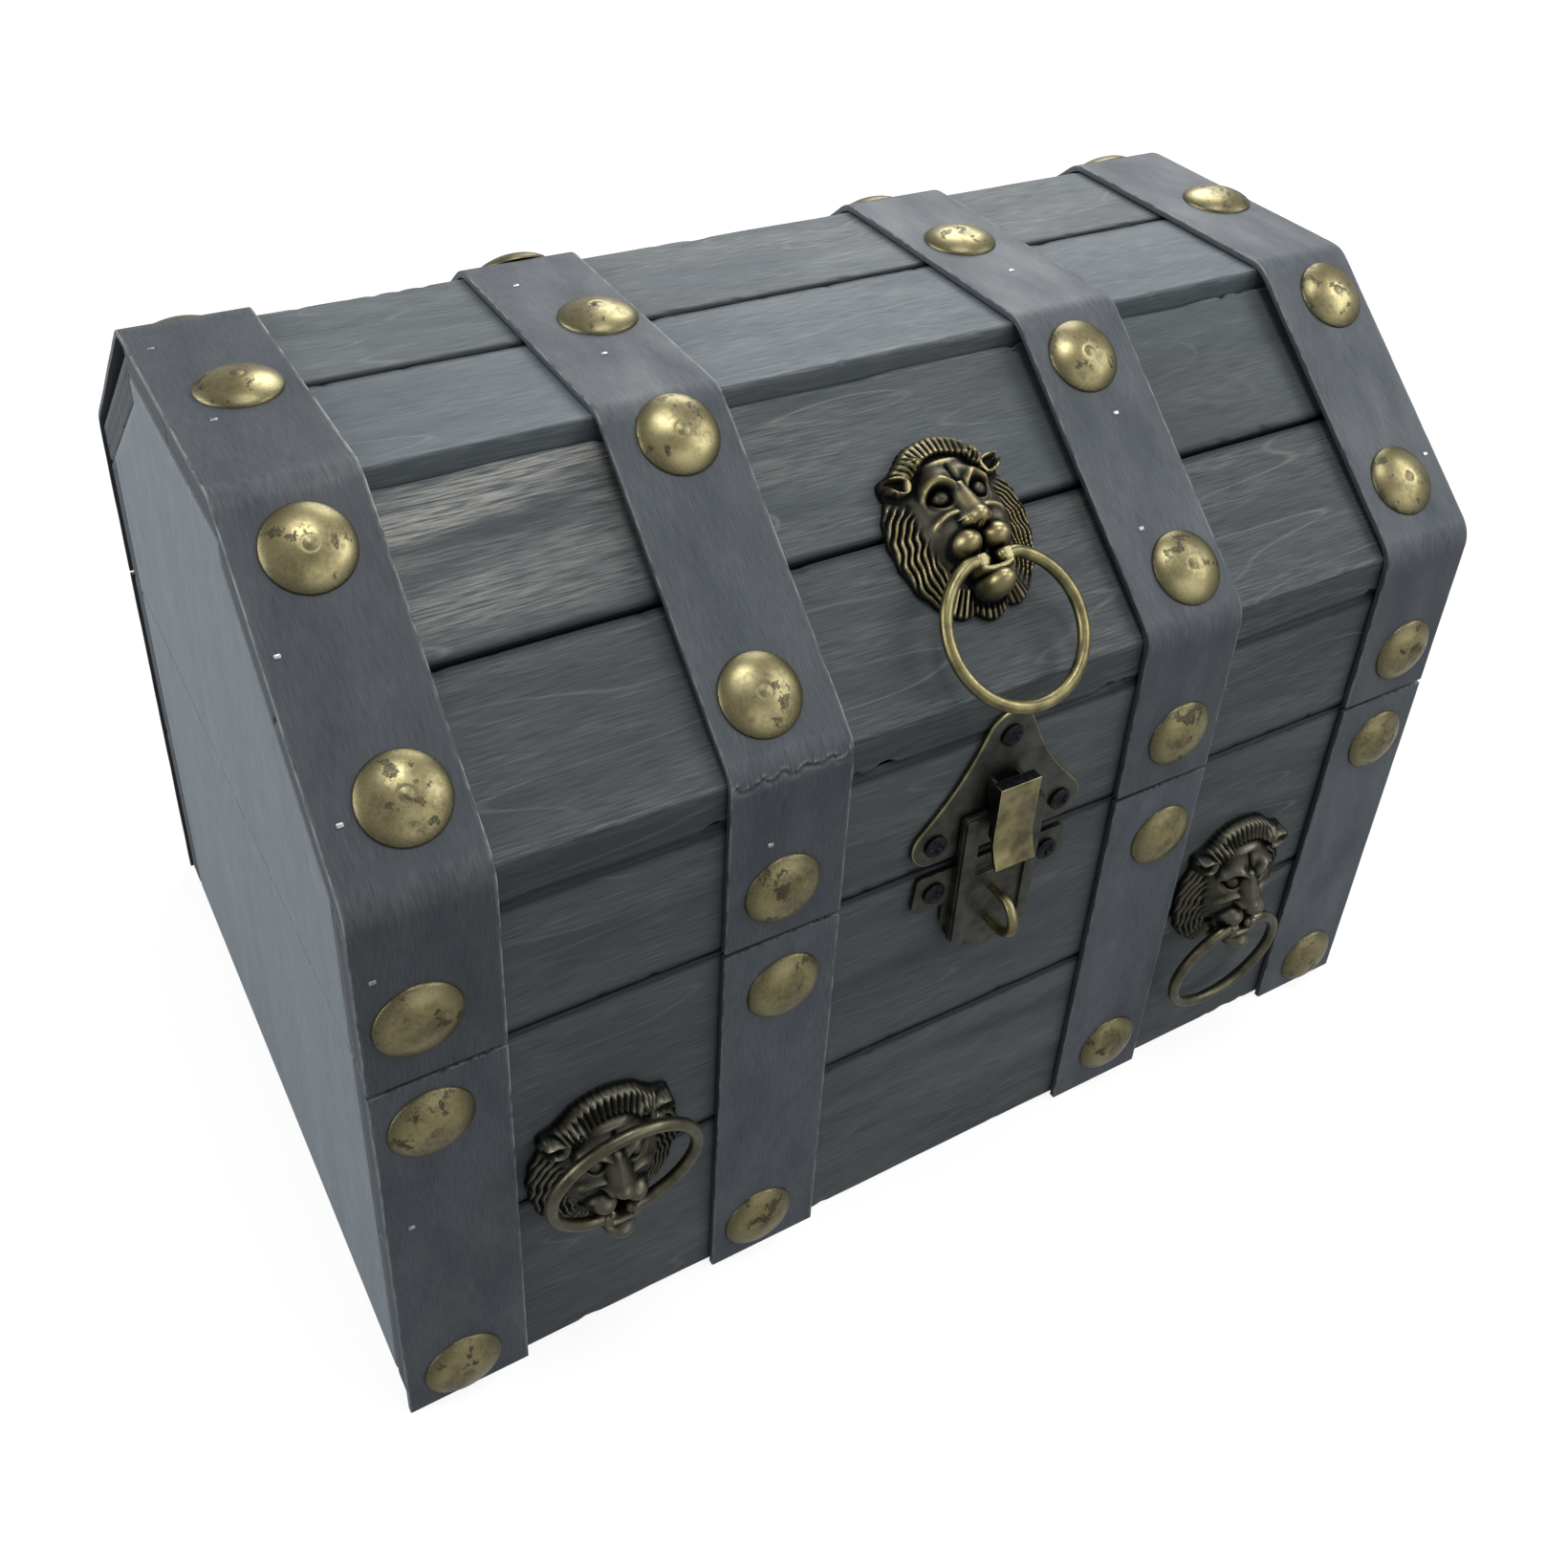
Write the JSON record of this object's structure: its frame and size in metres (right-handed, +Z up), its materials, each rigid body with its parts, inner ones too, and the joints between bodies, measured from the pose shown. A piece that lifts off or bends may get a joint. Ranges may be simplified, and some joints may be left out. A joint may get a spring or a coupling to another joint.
{
  "type": "treasure chest",
  "caption": "Small wooden treasure chest with a faceted hinged lid, studded bands, lion-mask ring pulls and a lever latch with a padlock eye.",
  "frame": {"origin": "middle of the underside of the bottom panel, on the surface the chest stands on", "axes": "+X along the length to the right seen from the front, +Y to the rear where the hinges are, +Z up"},
  "size_m": [0.3, 0.2247, 0.2209],
  "materials": {
    "stained_plywood": "slate-grey stain, dry-brushed, satin",
    "stained_strip": "dark grey stained veneer, satin",
    "antique_brass": "antiqued, dark in the recesses",
    "blackened_steel": "blackened",
    "bright_steel": "bright zinc"
  },
  "bodies": {
    "box": {"box_front_lower_board": "stained_plywood", "box_front_upper_board": "stained_plywood", "box_rear_lower_board": "stained_plywood", "box_rear_upper_board": "stained_plywood", "box_left_end": "stained_plywood", "box_right_end": "stained_plywood", "box_bottom": "stained_plywood", "box_front_band_1": "stained_strip", "box_front_band_2": "stained_strip", "box_front_band_3": "stained_strip", "box_front_band_4": "stained_strip", "box_rear_band_1": "stained_strip", "box_rear_band_2": "stained_strip", "box_rear_band_3": "stained_strip", "box_rear_band_4": "stained_strip", "left_lion": "antique_brass", "right_lion": "antique_brass", "left_lion_screw": "bright_steel", "right_lion_screw": "bright_steel", "latch_strike": "antique_brass", "padlock_eye": "antique_brass", "latch_strike_screw_left": "blackened_steel", "latch_strike_screw_right": "blackened_steel", "left_hinge_box_leaf": "blackened_steel", "right_hinge_box_leaf": "blackened_steel", "left_hinge_pin": "blackened_steel", "right_hinge_pin": "blackened_steel"},
    "lid": {"lid_left_end": "stained_plywood", "lid_right_end": "stained_plywood", "lid_front_rail": "stained_plywood", "lid_rear_rail": "stained_plywood", "lid_front_lower_slat": "stained_plywood", "lid_rear_lower_slat": "stained_plywood", "lid_front_upper_slat": "stained_plywood", "lid_rear_upper_slat": "stained_plywood", "lid_front_top_slat": "stained_plywood", "lid_rear_top_slat": "stained_plywood", "lid_band_1": "stained_strip", "lid_band_2": "stained_strip", "lid_band_3": "stained_strip", "lid_band_4": "stained_strip", "lid_lion": "antique_brass", "lid_lion_screw": "bright_steel", "latch_plate": "antique_brass", "latch_pin": "blackened_steel", "latch_plate_screw_top": "blackened_steel", "latch_plate_screw_left": "blackened_steel", "latch_plate_screw_right": "blackened_steel", "left_hinge_lid_leaf": "blackened_steel", "right_hinge_lid_leaf": "blackened_steel"},
    "lever": {"latch_lever": "antique_brass"},
    "lid_pull": {"lid_ring": "antique_brass"},
    "left_pull": {"left_ring": "antique_brass"},
    "right_pull": {"right_ring": "antique_brass"}
  },
  "joints": [
    {"name": "lid_hinge", "type": "hinge", "parent": "box", "child": "lid", "pos_m": [0, 0.1035, 0.1134], "axis": [-1, 0, 0], "range_deg": [0, 105]},
    {"name": "latch_lever_pivot", "type": "hinge", "parent": "lid", "child": "lever", "pos_m": [0.003, -0.1053, 0.1352], "axis": [-1, 0, 0], "range_deg": [0, 35]},
    {"name": "lid_ring_pivot", "type": "hinge", "parent": "lid", "child": "lid_pull", "pos_m": [0.0045, -0.08522, 0.18626], "axis": [-1, 0, 0], "range_deg": [0, 170]},
    {"name": "left_ring_pivot", "type": "hinge", "parent": "box", "child": "left_pull", "pos_m": [-0.09925, -0.1107, 0.0531], "axis": [1, 0, 0], "range_deg": [0, 170]},
    {"name": "right_ring_pivot", "type": "hinge", "parent": "box", "child": "right_pull", "pos_m": [0.09125, -0.1107, 0.0531], "axis": [-1, 0, 0], "range_deg": [0, 170]}
  ]
}
